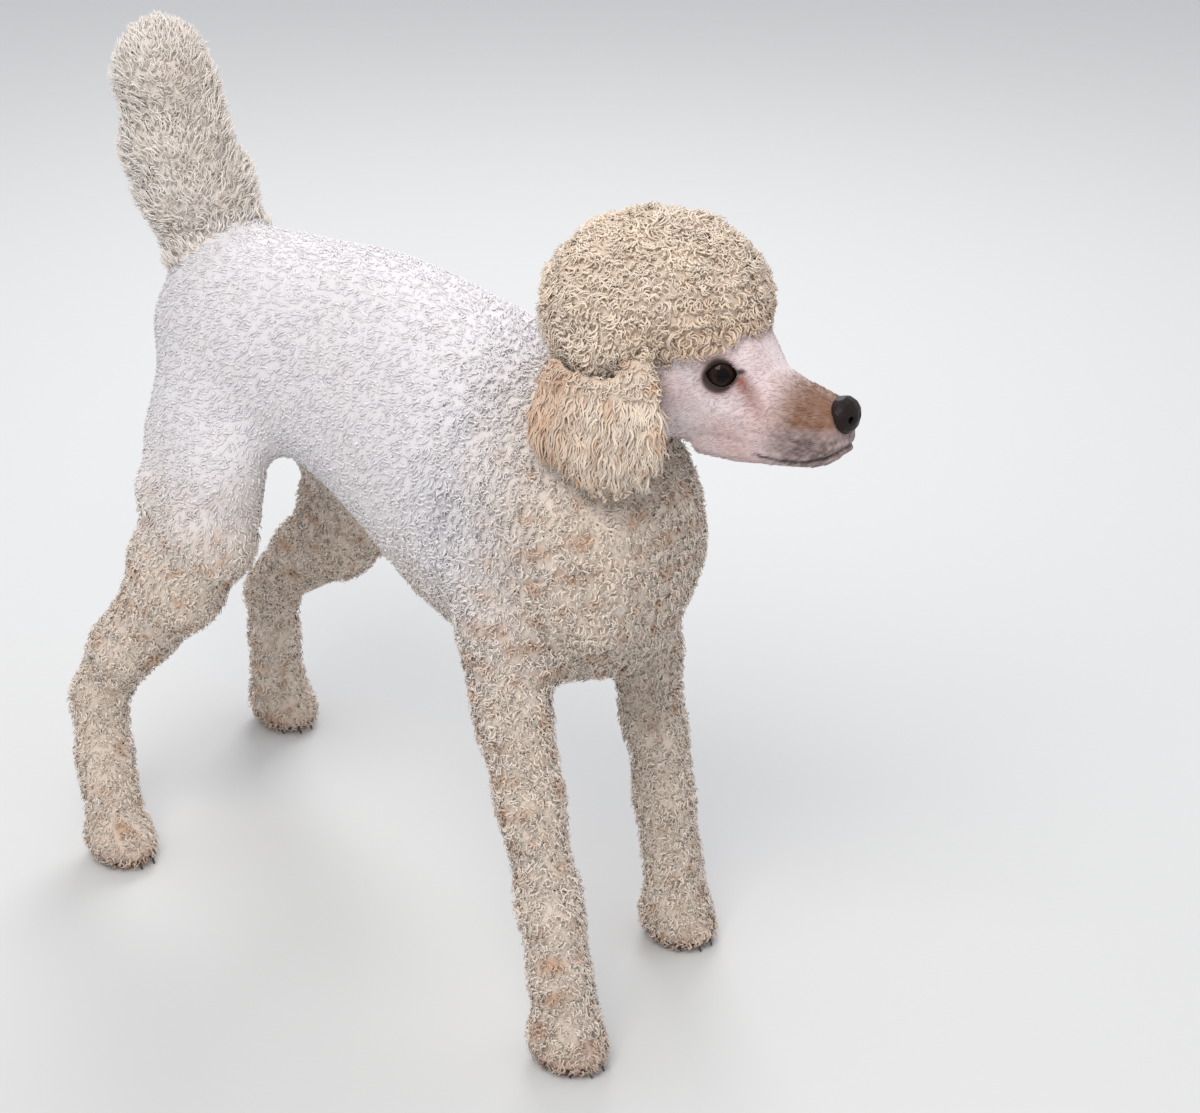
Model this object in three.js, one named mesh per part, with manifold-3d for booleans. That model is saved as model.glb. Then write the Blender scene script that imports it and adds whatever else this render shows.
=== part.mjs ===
// A standard poodle standing with its head up and its tail raised, life size, in millimetres.
// +X runs from tail to nose, +Y is the dog's left, +Z is up, and the paws stand on z = 0.
import * as THREE from "three";
import { mergeVertices } from "three/addons/utils/BufferGeometryUtils.js";
import Module from "manifold-3d";

const wasm = await Module();
wasm.setup();
const { Manifold, Mesh } = wasm;

// Driving sizes of the dog, coat included
const WITHERS_HEIGHT = 574;
const CROUP_HEIGHT = 590;
const BRISKET_HEIGHT = 292;
const CHEST_HALF_WIDTH = 97;
const LOIN_HALF_WIDTH = 80;
const HIP_HALF_WIDTH = 90;
const RUMP_X = -306;
const CHEST_X = 232;
const MUZZLE_LENGTH = 87;
const MUZZLE_HALF_WIDTH = 25;
const EYE_RADIUS = 13.6;
const TAIL_RADIUS = 53;

// How far the curls stand out from the core that carries them
const LEG_CURL = 5;
const CHEST_CURL = 5;
const TAIL_CURL = 13;
const TOPKNOT_CURL = 25;

// Where two touching pieces part
const GAP = 0.3;

// Facets smaller than this are merged once the curls are on, and pieces keep that much more room round them
const TRIM = 0.9;

// Where each foot stands and the joints above it, as the dog in the photo has placed them
const LEGS = {
  right_fore: { side: -1, foot: [240, -98], wrist: [216, -95, 132], elbow: [152, -78, 318], shoulder: [98, -46, 496] },
  left_fore: { side: 1, foot: [174, 106], wrist: [160, 103, 132], elbow: [134, 94, 318], shoulder: [98, 50, 496] },
  right_hind: { side: -1, foot: [-288, -150], hock: [-334, -134, 148], stifle: [-188, -92, 345], hip: [-222, -44, 512] },
  left_hind: { side: 1, foot: [-384, 128], hock: [-380, 112, 156], stifle: [-190, 92, 312], hip: [-216, 44, 512] },
};

// The head's own frame sits midway between the eyes, with +X along the muzzle
const HEAD_PLACE = new THREE.Matrix4().compose(
  new THREE.Vector3(296, 28, 597),
  new THREE.Quaternion().setFromEuler(new THREE.Euler(0, THREE.MathUtils.degToRad(-4), THREE.MathUtils.degToRad(10), "ZYX")),
  new THREE.Vector3(1.02, 1.02, 1.02),
);

const vector = (p) => new THREE.Vector3(...p);

// Solids from closed geometries

function solidOf(geometry) {
  const bare = geometry.index ? geometry.toNonIndexed() : geometry.clone();
  bare.deleteAttribute("normal");
  bare.deleteAttribute("uv");
  const merged = mergeVertices(bare, 1e-3);
  const solid = new Manifold(
    new Mesh({
      numProp: 3,
      vertProperties: merged.attributes.position.array,
      triVerts: new Uint32Array(merged.index.array),
    }),
  );
  return solid;
}

function geometryOf(solid) {
  const mesh = solid.getMesh();
  const geometry = new THREE.BufferGeometry()
    .setAttribute("position", new THREE.BufferAttribute(new Float32Array(mesh.vertProperties), 3))
    .setIndex(new THREE.BufferAttribute(new Uint32Array(mesh.triVerts), 1));
  return unpinched(geometry);
}

// Where two folds of a surface touch at a corner or an edge, each draws back by a hair
function unpinched(geometry) {
  const hair = 0.04;
  const { position } = geometry.attributes;
  geometry.computeVertexNormals();
  const { normal } = geometry.attributes;
  const together = new Map();
  for (let i = 0; i < position.count; i++) {
    const key = [position.getX(i), position.getY(i), position.getZ(i)].map((v) => Math.round(v * 500)).join();
    together.set(key, [...(together.get(key) ?? []), i]);
  }
  for (const folds of together.values()) {
    if (folds.length < 2) continue;
    for (const i of folds) {
      position.setXYZ(
        i,
        position.getX(i) - hair * normal.getX(i),
        position.getY(i) - hair * normal.getY(i),
        position.getZ(i) - hair * normal.getZ(i),
      );
    }
  }
  geometry.deleteAttribute("normal");
  return geometry;
}

const join = (solids) => solids.reduce((whole, piece) => whole.add(piece));
const trimmed = (solid, by = TRIM) => solid.asOriginal().simplify(by);
const largest = (solid) => solid.decompose().sort((a, b) => b.volume() - a.volume())[0];

// A limb is a run of rounded sections along a smooth line. A station gives the section's centre, its half width
// to each side and its half depths above and below, where "above" is the front on an upright limb.
class Limb {
  constructor(stations, { square = 1, startCap = 20, endCap = 20, sideways = [0, 1, 0] } = {}) {
    this.line = new THREE.CatmullRomCurve3(stations.map((s) => vector(s.at)), false, "catmullrom", 0.5);
    this.sizes = new THREE.CatmullRomCurve3(
      stations.map((s) => new THREE.Vector3(s.wide, s.above, s.below ?? s.above)),
      false,
      "catmullrom",
      0.5,
    );
    this.square = square;
    this.startCap = startCap;
    this.endCap = endCap;
    this.sideways = vector(sideways);
  }

  // The point at share t of the line, from -capShare to 1 + capShare, and at an angle round it
  point(t, angle, grow = 0, shrink = 1, offset = 0) {
    const centre = this.line.getPoint(t);
    const step = 1e-3;
    const tangent = this.line
      .getPoint(Math.min(t + step, 1))
      .sub(this.line.getPoint(Math.max(t - step, 0)))
      .normalize();
    const across = this.sideways.clone().addScaledVector(tangent, -this.sideways.dot(tangent)).normalize();
    const up = tangent.clone().cross(across);
    const size = this.sizes.getPoint(t);
    const round = (value) => Math.sign(value) * Math.abs(value) ** this.square;
    const c = Math.cos(angle);
    const s = Math.sin(angle);
    return centre
      .addScaledVector(tangent, offset)
      .addScaledVector(across, (size.x + grow) * round(c) * shrink)
      .addScaledVector(up, ((s > 0 ? size.y : size.z) + grow) * round(s) * shrink);
  }

  // A closed mesh, with round ends unless it has no cap rings
  solid(rings, segments, grow = 0, capRings = 2) {
    const rows = [];
    const addRow = (t, shrink, offset) => {
      const row = [];
      for (let i = 0; i < segments; i++) row.push(this.point(t, (i / segments) * Math.PI * 2, grow, shrink, offset));
      rows.push(row);
    };
    for (let i = 1; i <= capRings; i++) {
      const turn = (i / (capRings + 1)) * (Math.PI / 2);
      addRow(0, Math.sin(turn), -(this.startCap + grow) * Math.cos(turn));
    }
    for (let i = 0; i <= rings; i++) addRow(i / rings, 1, 0);
    for (let i = capRings; i >= 1; i--) {
      const turn = (i / (capRings + 1)) * (Math.PI / 2);
      addRow(1, Math.sin(turn), (this.endCap + grow) * Math.cos(turn));
    }
    const points = [this.point(0, 0, grow, 0, -(this.startCap + grow)), ...rows.flat(), this.point(1, 0, grow, 0, this.endCap + grow)];
    const last = points.length - 1;
    const at = (row, i) => 1 + row * segments + (i % segments);
    const faces = [];
    for (let i = 0; i < segments; i++) {
      faces.push(0, at(0, i + 1), at(0, i));
      faces.push(last, at(rows.length - 1, i), at(rows.length - 1, i + 1));
      for (let row = 0; row < rows.length - 1; row++) {
        faces.push(at(row, i), at(row, i + 1), at(row + 1, i));
        faces.push(at(row, i + 1), at(row + 1, i + 1), at(row + 1, i));
      }
    }
    return closed(points, faces);
  }
}

// A solid from points and faces, whichever way round the faces came out
function closed(points, faces) {
  const geometry = new THREE.BufferGeometry().setFromPoints(points).setIndex(faces);
  const solid = solidOf(geometry);
  if (solid.volume() > 0) return solid;
  for (let i = 0; i < faces.length; i += 3) [faces[i + 1], faces[i + 2]] = [faces[i + 2], faces[i + 1]];
  return solidOf(new THREE.BufferGeometry().setFromPoints(points).setIndex(faces));
}

// A stretched ball, turned and placed
function ball(centre, radii, turn = [0, 0, 0], segments = 16, rings = 12) {
  const place = new THREE.Matrix4().compose(
    vector(centre),
    new THREE.Quaternion().setFromEuler(new THREE.Euler(...turn)),
    vector(radii),
  );
  return solidOf(new THREE.SphereGeometry(1, segments, rings).applyMatrix4(place));
}

// A block reaching from a corner to a corner, for thin cuts
function block(low, high, place = new THREE.Matrix4()) {
  const size = vector(high).sub(vector(low));
  const centre = vector(high).add(vector(low)).multiplyScalar(0.5);
  return solidOf(new THREE.BoxGeometry(size.x, size.y, size.z).translate(centre.x, centre.y, centre.z).applyMatrix4(place));
}

const onHead = (solid) => solid.transform(HEAD_PLACE.elements.slice());

// Repeatable random shares between 0 and 1
function seeded(seed) {
  let state = seed;
  return () => {
    state = (state + 0x6d2b79f5) | 0;
    let mixed = Math.imul(state ^ (state >>> 15), 1 | state);
    mixed = (mixed + Math.imul(mixed ^ (mixed >>> 7), 61 | mixed)) ^ mixed;
    return ((mixed ^ (mixed >>> 14)) >>> 0) / 4294967296;
  };
}

// A clump of curls: a round-topped lump with its tip at a point of the coat's surface and its root sunk in the core
const CLUMP_SIDES = 5;
const CLUMP_PROFILE = [[0.6, 0.8], [0.96, 0.2]];

function clump(tip, outward, wide, deep, spin, grow = 0) {
  const points = [new THREE.Vector3(0, 0, deep + grow)];
  for (const [out, up] of CLUMP_PROFILE) {
    for (let i = 0; i < CLUMP_SIDES; i++) {
      const turn = spin + (i / CLUMP_SIDES) * Math.PI * 2;
      const radius = wide * out + grow * 1.3;
      points.push(new THREE.Vector3(Math.cos(turn) * radius, Math.sin(turn) * radius, up * deep + grow));
    }
  }
  points.push(new THREE.Vector3(0, 0, -0.7 * deep - grow));
  const faces = [];
  const at = (row, i) => 1 + row * CLUMP_SIDES + (i % CLUMP_SIDES);
  for (let i = 0; i < CLUMP_SIDES; i++) {
    faces.push(0, at(0, i), at(0, i + 1), points.length - 1, at(1, i + 1), at(1, i));
    faces.push(at(0, i), at(1, i), at(1, i + 1), at(0, i), at(1, i + 1), at(0, i + 1));
  }
  const turn = new THREE.Quaternion().setFromUnitVectors(new THREE.Vector3(0, 0, 1), outward);
  const centre = tip.clone().addScaledVector(outward, -deep);
  return closed(points.map((p) => p.applyQuaternion(turn).add(centre)), faces);
}

// Clumps in staggered rings round a limb, from one share of its length to another
function limbCurls(limb, { from, to, rings, round, wide, deep, seed, only = () => true }, grow = 0) {
  const random = seeded(seed);
  const pieces = [];
  for (let ring = 0; ring < rings; ring++) {
    for (let i = 0; i < round; i++) {
      const t = from + ((to - from) * (ring + 0.5 + (random() - 0.5) * 0.5)) / rings;
      const angle = ((i + (ring % 2) / 2 + (random() - 0.5) * 0.45) / round) * Math.PI * 2;
      const size = 0.88 + 0.26 * random();
      const tip = limb.point(t, angle, (random() - 0.6) * 3);
      const outward = tip.clone().sub(limb.line.getPoint(t)).normalize();
      const spin = random() * Math.PI;
      if (only(tip, outward)) pieces.push(clump(tip, outward, wide * size, deep * size, spin, grow));
    }
  }
  return pieces;
}

// A flat lock of hair that tapers from its root to its tip
function lock(points, wide, thick, sideways, grow = 0) {
  const taper = [0.75, 1, 0.92, 0.66, 0.16];
  const stations = points.map((at, i) => ({ at, wide: wide * taper[i], above: thick * Math.max(taper[i], 0.3) }));
  return new Limb(stations, { startCap: 4, endCap: 5, sideways }).solid(4, 5, grow, 0);
}

// Trunk: chest, loin and haunches in one run of sections

const trunk = new Limb(
  [
    { at: [RUMP_X, 0, 482], wide: 64, above: 64, below: 74 },
    { at: [-246, 0, 488], wide: HIP_HALF_WIDTH - 4, above: 94, below: 96 },
    { at: [-175, 0, 492], wide: HIP_HALF_WIDTH, above: CROUP_HEIGHT - 492, below: 92 },
    { at: [-95, 0, 484], wide: LOIN_HALF_WIDTH, above: 120, below: 104 },
    { at: [-15, 0, 470], wide: 88, above: 127, below: 126 },
    { at: [65, 0, 452], wide: CHEST_HALF_WIDTH, above: 130, below: 146 },
    { at: [130, 0, 440], wide: CHEST_HALF_WIDTH, above: WITHERS_HEIGHT - 448, below: 440 - BRISKET_HEIGHT },
    { at: [190, 0, 424], wide: 90, above: 104, below: 136 },
    { at: [CHEST_X, 0, 416], wide: 62, above: 76, below: 94 },
  ],
  { startCap: 26, endCap: 26, square: 0.94 },
);

// Upper arms and thighs swell out of the trunk and run down as the legs

const between = (a, b, share) => a.map((v, i) => v + (b[i] - v) * share);

function foreLimb({ side, foot, wrist, elbow, shoulder }) {
  const [footX, footY] = foot;
  return new Limb(
    [
      { at: shoulder, wide: 34, above: 44, below: 40 },
      { at: between(shoulder, elbow, 0.5), wide: 44, above: 54, below: 52 },
      { at: elbow, wide: 34, above: 42, below: 40 },
      { at: between(elbow, wrist, 0.5), wide: 29, above: 31, below: 30 },
      { at: wrist, wide: 27, above: 28, below: 27 },
      { at: [footX - 6, footY, 62], wide: 27, above: 27, below: 26 },
      { at: [footX, footY, 22], wide: 28, above: 28, below: 26 },
    ],
    { endCap: 6, startCap: 26 },
  );
}

function hindLimb({ side, foot, hock, stifle, hip }) {
  const [footX, footY] = foot;
  const thigh = between(hip, stifle, 0.58);
  const pastern = between(hock, [footX, footY, 0], 0.45);
  return new Limb(
    [
      { at: hip, wide: 40, above: 62, below: 78 },
      { at: [thigh[0] - 10, thigh[1] + side * 2, thigh[2]], wide: 46, above: 68, below: 98 },
      { at: [stifle[0] - 14, stifle[1], stifle[2]], wide: 40, above: 54, below: 82 },
      { at: between(stifle, hock, 0.5), wide: 33, above: 40, below: 46 },
      { at: [hock[0] + 10, hock[1], hock[2] + 12], wide: 27, above: 30, below: 27 },
      { at: pastern, wide: 24, above: 25, below: 25 },
      { at: [footX - 6, footY, 28], wide: 26, above: 26, below: 25 },
    ],
    { endCap: 6, startCap: 26 },
  );
}

// Paw: a pad, four toes with a claw each, and flat soles on the floor

const TOES = [
  { across: -19, ahead: 8, long: 16 },
  { across: -7, ahead: 18, long: 19 },
  { across: 7, ahead: 18, long: 19 },
  { across: 19, ahead: 8, long: 16 },
];

function pawSolid({ foot }) {
  const [x, y] = foot;
  const pieces = [ball([x - 4, y, 22], [33, 30, 26], [0, 0, 0], 9, 6)];
  for (const toe of TOES) {
    pieces.push(ball([x + toe.ahead, y + toe.across, 14], [toe.long, 10.5, 15], [0, 0, 0], 7, 4));
    const claw = new THREE.ConeGeometry(3, 11, 4)
      .rotateZ(-Math.PI / 2 - 0.6)
      .translate(x + toe.ahead + toe.long, y + toe.across, 8);
    pieces.push(solidOf(claw));
  }
  return join(pieces).subtract(block([x - 90, y - 90, -60], [x + 90, y + 90, 0]));
}

// Neck, from between the shoulders up to the skull

const neckLimb = new Limb(
  [
    { at: [110, 0, 462], wide: 84, above: 84, below: 92 },
    { at: [160, 6, 508], wide: 68, above: 66, below: 72 },
    { at: [194, 12, 552], wide: 54, above: 52, below: 52 },
    { at: [222, 20, 606], wide: 48, above: 44, below: 44 },
  ],
  { startCap: 20, endCap: 20 },
);

// Head: skull, cheeks and muzzle, in the head's own frame

const skull = new Limb(
  [
    { at: [-92, 0, 6], wide: 34, above: 36, below: 32 },
    { at: [-62, 0, -2], wide: 52, above: 54, below: 50 },
    { at: [-30, 0, -8], wide: 54, above: 60, below: 62 },
    { at: [-4, 0, -20], wide: 39, above: 54, below: 54 },
    { at: [20, 0, -33], wide: 30, above: 40, below: 40 },
    { at: [44, 0, -39], wide: 28, above: 33, below: 29 },
    { at: [68, 0, -41], wide: MUZZLE_HALF_WIDTH, above: 28, below: 26 },
    { at: [MUZZLE_LENGTH, 0, -41], wide: 21, above: 22, below: 22 },
  ],
  { startCap: 22, endCap: 9, square: 0.86 },
);

// Each eye looks out and forwards from beneath the brow, in an almond opening between its lids
const EYE_CENTRE = [3, 25.6, -1];
const EYE_LOOK = [0.66, 0.74, 0.1];
const EYE_OPENING = { halfWidth: 12.6, halfHeight: 9.4, tilt: 0.16 };
const LID_THICKNESS = 2.4;

const sided = ([x, y, z], side) => [x, y * side, z];

function eyeBall(side, grow = 0) {
  const radius = EYE_RADIUS + grow;
  return ball(sided(EYE_CENTRE, side), [radius, radius, radius], [0, 0, 0], 12, 8);
}

function lidShell(side, grow = 0) {
  const radius = EYE_RADIUS + LID_THICKNESS + grow;
  return ball(sided(EYE_CENTRE, side), [radius, radius, radius], [0, 0, 0], 12, 9);
}

function eyeOpening(side) {
  const { halfWidth, halfHeight, tilt } = EYE_OPENING;
  const look = vector(sided(EYE_LOOK, side)).normalize();
  const outer = new THREE.Vector3(0, 0, 1).cross(look).normalize();
  const place = new THREE.Matrix4().makeBasis(outer, look.clone().cross(outer), look);
  const almond = new THREE.Shape();
  almond.moveTo(-halfWidth, 0);
  almond.bezierCurveTo(-halfWidth * 0.55, halfHeight * 1.33, halfWidth * 0.55, halfHeight * 1.33, halfWidth, 0);
  almond.bezierCurveTo(halfWidth * 0.55, -halfHeight * 1.33, -halfWidth * 0.55, -halfHeight * 1.33, -halfWidth, 0);
  const prism = new THREE.ExtrudeGeometry(almond, { depth: 40, bevelEnabled: false, curveSegments: 4 });
  prism.rotateZ(tilt * side).applyMatrix4(place.setPosition(vector(sided(EYE_CENTRE, side))));
  return solidOf(prism);
}

// The line of the mouth, seen from the side, with the lower jaw under it
const MOUTH_CORNER = [30, -63];
const MOUTH_LINE = [MOUTH_CORNER, [48, -66], [68, -65], [86, -59], [104, -48]];

function underMouth(drop) {
  const [cornerX, cornerZ] = MOUTH_CORNER;
  const outline = new THREE.Shape();
  outline.moveTo(cornerX + drop, cornerZ - drop);
  outline.splineThru(MOUTH_LINE.slice(1).map(([x, z]) => new THREE.Vector2(x, z - drop)));
  outline.lineTo(130, -120);
  outline.lineTo(8 + drop, -120);
  outline.closePath();
  const across = 140;
  const cutter = new THREE.ExtrudeGeometry(outline, { depth: across, bevelEnabled: false, curveSegments: 2 });
  return solidOf(cutter.rotateX(Math.PI / 2).translate(0, across / 2, 0));
}

const jawLimb = new Limb(
  [
    { at: [-22, 0, -52], wide: 30, above: 20, below: 24 },
    { at: [8, 0, -56], wide: 28, above: 20, below: 21 },
    { at: [40, 0, -57], wide: 24, above: 18, below: 18 },
    { at: [68, 0, -57], wide: 19.5, above: 16, below: 15.5 },
    { at: [83, 0, -54], wide: 15, above: 12, below: 12 },
  ],
  { startCap: 8, endCap: 7, square: 0.9 },
);

// The muzzle's half width where its section has a height
function muzzleSide(x, z) {
  let [low, high] = [0, 1];
  for (let i = 0; i < 20; i++) {
    const middle = (low + high) / 2;
    if (skull.line.getPoint(middle).x < x) low = middle;
    else high = middle;
  }
  const size = skull.sizes.getPoint(low);
  const depth = Math.min(Math.abs(skull.line.getPoint(low).z - z) / size.z, 0.98) ** (1 / skull.square);
  return size.x * Math.sqrt(1 - depth * depth) ** skull.square;
}

// Lips: a soft rim along the line of the mouth, over it for the upper lip and under it for the lower
function lip(side, rise, thickness) {
  const along = MOUTH_LINE.slice(0, 4).flatMap(([x, z], i) => {
    const [nextX, nextZ] = MOUTH_LINE[i + 1];
    return [[x, z], [(x + nextX) / 2, (z + nextZ) / 2]].filter(([px]) => px <= 86);
  });
  const points = along.map(([x, z]) => [x, side * (muzzleSide(x, z) - 0.8), z + rise]);
  points.push([93, side * 7.5, -55 + rise], [96, 0, -53 + rise]);
  const stations = points.map((at, i) => ({ at, wide: thickness * (i ? 1 : 0.6), above: thickness * (i ? 1 : 0.6) }));
  return new Limb(stations, { startCap: 3, endCap: 1, sideways: [0, 0, 1] }).solid(10, 6, 0, 1);
}

const upperLips = () => join([lip(-1, 2.4, 3.1), lip(1, 2.4, 3.1)]);
const lowerLips = () => join([lip(-1, -2.2, 2.5), lip(1, -2.2, 2.5)]);

// Nose leather, with a comma-shaped nostril on each side
function noseSolid() {
  const pad = ball([MUZZLE_LENGTH + 5, 0, -30], [12, 15.5, 15], [0, 0.15, 0], 12, 8);
  const nostrils = [-1, 1].flatMap((side) => [
    ball([MUZZLE_LENGTH + 16, side * 6.8, -30], [9, 3.2, 3.8], [0, 0, side * 0.5], 6, 5),
    ball([MUZZLE_LENGTH + 10, side * 13.4, -32], [7, 5, 1.7], [0, 0, side * -0.3], 6, 4),
  ]);
  return nostrils.reduce((nose, hole) => nose.subtract(hole), pad);
}

// Topknot: the round puff of curls on the skull
const TOPKNOT_CENTRE = [-66, 0, 32];
const TOPKNOT_RADII = [93, 88, 78];

// No curl of the puff stands out further than this, and the face is clipped short up to the brow, where it stops
const TOPKNOT_ROOM = 2;
const BROW = [20, 0, 13];
const CLIP_BACK = -52;
const CLIP_TILT = 0.16;

function topknotDome(grow = 0) {
  const tilt = new THREE.Matrix4().makeRotationY(CLIP_TILT).setPosition(vector(BROW));
  const clipped = block([CLIP_BACK - BROW[0] + grow, -140, -160], [160, 140, -grow], tilt);
  const radii = TOPKNOT_RADII.map((r) => r + grow);
  return ball(TOPKNOT_CENTRE, radii, [0, 0, 0], 16, 10).subtract(clipped);
}

// The puff's curls stand on a smaller dome, evenly spread over the sphere's turns
function topknotSolid() {
  const random = seeded(11);
  const count = 42;
  const pieces = [ball(TOPKNOT_CENTRE, TOPKNOT_RADII.map((r) => r - TOPKNOT_CURL), [0, 0, 0], 12, 8)];
  for (let i = 0; i < count; i++) {
    const height = 1 - (2 * (i + 0.5)) / count;
    const turn = i * 2.39996 + (random() - 0.5) * 0.25;
    const flat = Math.sqrt(1 - height * height);
    const outward = new THREE.Vector3(flat * Math.cos(turn), flat * Math.sin(turn), height);
    const size = 0.88 + 0.24 * random();
    const reach = TOPKNOT_RADII.map((r) => r - 0.6 - 3 * random());
    const tip = vector(TOPKNOT_CENTRE).add(outward.clone().multiply(vector(reach)));
    const spin = random() * Math.PI;
    if (height > -0.62) pieces.push(clump(tip, outward, 28.5 * size, 25, spin));
  }
  return trimmed(join(pieces), 1.4).intersect(topknotDome(TOPKNOT_ROOM));
}

// Ear: a hanging leather, cupped towards the cheek, under two tiers of wavy locks
const EAR = { x: -70, top: 26, length: 106, halfWidth: [38, 57, 65, 63, 46], out: [56, 72, 81, 84, 82] };

// A place on the ear: across from -1 at the rear edge to 1 at the front, down from 0 to 1, and out from the leather
function earPlace(side, across, down, out) {
  const pick = (list) => {
    const place = Math.min(Math.max(down, 0), 0.999) * (list.length - 1);
    const i = Math.floor(place);
    return list[i] + (list[i + 1] - list[i]) * (place - i);
  };
  const y = pick(EAR.out) + out - 9 * across * across;
  return [EAR.x + across * pick(EAR.halfWidth), side * y, EAR.top - EAR.length * down];
}

function earSolid(side) {
  const leather = new Limb(
    EAR.out.map((out, i) => {
      const half = EAR.halfWidth[i] - 6;
      return { at: [EAR.x, side * out, EAR.top - (EAR.length - 22) * (i / 4)], wide: 10.5, above: half, below: half };
    }),
    { startCap: 8, endCap: 14 },
  );
  const random = seeded(side > 0 ? 31 : 32);
  const pieces = [leather.solid(5, 12)];
  const tiers = [
    { from: 0.0, to: 0.66, count: 5, spread: 0.76, out: 10, wide: 14.5, thick: 9.5 },
    { from: 0.42, to: 1.1, count: 7, spread: 0.88, out: 6, wide: 12, thick: 10 },
  ];
  for (const { from, to, count, spread, out, wide, thick } of tiers) {
    for (let i = 0; i < count; i++) {
      const across = spread * ((2 * (i + 0.5)) / count - 1) + (random() - 0.5) * 0.06;
      const end = to - 0.2 * across * across + (random() - 0.5) * 0.06;
      const phase = random() * 6.28;
      const points = [0, 1, 2, 3, 4].map((k) => {
        const down = from + ((end - from) * k) / 4;
        const [x, y, z] = earPlace(side, across, down, out - (k === 0 ? 8 : 0) - (k === 4 ? 5 : 0));
        return [x + 3.2 * Math.sin(phase + k * 2.1), y, z];
      });
      pieces.push(lock(points, wide * (0.9 + 0.25 * random()), thick, [1, 0, 0]));
    }
  }
  const cup = ball([EAR.x + 2, side * 70, -26], [36, 9, 38], [0, 0, 0], 12, 8);
  return onHead(trimmed(join(pieces).subtract(cup), 1));
}

// Tail: a short brush held straight up
const tailLimb = new Limb(
  [
    { at: [-278, 0, 536], wide: 42, above: 46, below: 42 },
    { at: [-304, -3, 592], wide: TAIL_RADIUS, above: TAIL_RADIUS },
    { at: [-326, -8, 655], wide: 51, above: 50 },
    { at: [-340, -12, 722], wide: 38, above: 38 },
  ],
  { startCap: 12, endCap: 30 },
);

function tailSolid() {
  const curls = { from: 0.02, to: 1, rings: 4, round: 5, wide: 33, deep: 24, seed: 51 };
  const crown = limbCurls(tailLimb, { from: 1, to: 1, rings: 1, round: 4, wide: 22, deep: 20, seed: 52 });
  const top = tailLimb.line.getPoint(1);
  const tip = clump(top.clone().add(new THREE.Vector3(-5, 0, 29)), new THREE.Vector3(-0.16, 0, 0.98), 26, 22, 0);
  return trimmed(join([tailLimb.solid(6, 10, -TAIL_CURL), ...limbCurls(tailLimb, curls), ...crown, tip]), 1);
}

// Assembly: the flesh is one whole, and thin cuts part it into its named pieces

const limbs = Object.fromEntries(
  Object.entries(LEGS).map(([name, leg]) => [name, name.endsWith("fore") ? foreLimb(leg) : hindLimb(leg)]),
);

// Curls on the legs, down over the paws, and on the chest and neck, where the coat is left longer than on the back
function bodyCurls(grow = 0) {
  const pieces = [];
  Object.entries(limbs).forEach(([name, limb], i) => {
    const { side } = LEGS[name];
    const outer = (tip, outward) => outward.y * side > -0.1;
    const fore = name.endsWith("fore");
    const top = fore
      ? { from: 0.1, to: 0.33, rings: 2, round: 6, wide: 30, deep: 18, seed: 61 + i, only: outer }
      : { from: 0.2, to: 0.38, rings: 2, round: 6, wide: 38, deep: 20, seed: 71 + i, only: outer };
    const shank = fore
      ? { from: 0.34, to: 0.98, rings: 5, round: 4, wide: 28, deep: 15, seed: 81 + i }
      : { from: 0.38, to: 0.98, rings: 5, round: 4, wide: 31, deep: 16, seed: 91 + i };
    pieces.push(...limbCurls(limb, top, grow), ...limbCurls(limb, shank, grow));
  });
  const front = (tip) => tip.z < 520;
  pieces.push(...limbCurls(trunk, { from: 0.86, to: 1, rings: 2, round: 9, wide: 33, deep: 20, seed: 41, only: front }, grow));
  pieces.push(...limbCurls(neckLimb, { from: 0.25, to: 0.75, rings: 2, round: 5, wide: 33, deep: 20, seed: 43 }, grow));
  const breast = trunk.line.getPoint(1);
  for (const [y, z] of [[-30, 30], [30, 26], [0, -8], [-34, -44], [34, -46]]) {
    const tip = breast.clone().add(new THREE.Vector3(26 - 0.004 * (y * y + z * z), y, z));
    pieces.push(clump(tip, new THREE.Vector3(0.95, y / 140, z / 140).normalize(), 29, 20, y, grow));
  }
  return pieces;
}

function wholeBody(grow = 0) {
  return join([
    trunk.solid(16, 18, grow),
    neckLimb.solid(6, 16, grow - CHEST_CURL),
    onHead(skull.solid(13, 16, grow)),
    onHead(jawLimb.solid(8, 14, grow)),
    ...Object.values(limbs).map((limb) => limb.solid(12, 9, grow - LEG_CURL)),
    ...bodyCurls(grow),
  ]);
}

// A half space as a large block, on the far side of a plane
function beyond(point, direction, shift = 0) {
  const reach = 1500;
  const turn = new THREE.Quaternion().setFromUnitVectors(new THREE.Vector3(0, 0, 1), vector(direction).normalize());
  const place = new THREE.Matrix4().compose(vector(point), turn, new THREE.Vector3(1, 1, 1));
  return block([-reach, -reach, shift], [reach, reach, reach], place);
}

const NECK_BASE = { point: [150, 0, 520], direction: [0.72, 0.1, 0.7] };
const NECK_TOP = { point: [224, 20, 588], direction: [0.8, 0.12, 0.6] };
const FORE_CUT = { top: 346, inner: 46, reach: 66, low: 284 };
const HIND_CUT = { point: [-200, 0, 400], direction: [-0.27, 0, -1], inner: 3, front: -96 };
const PAW_CUT = 44;

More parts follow.
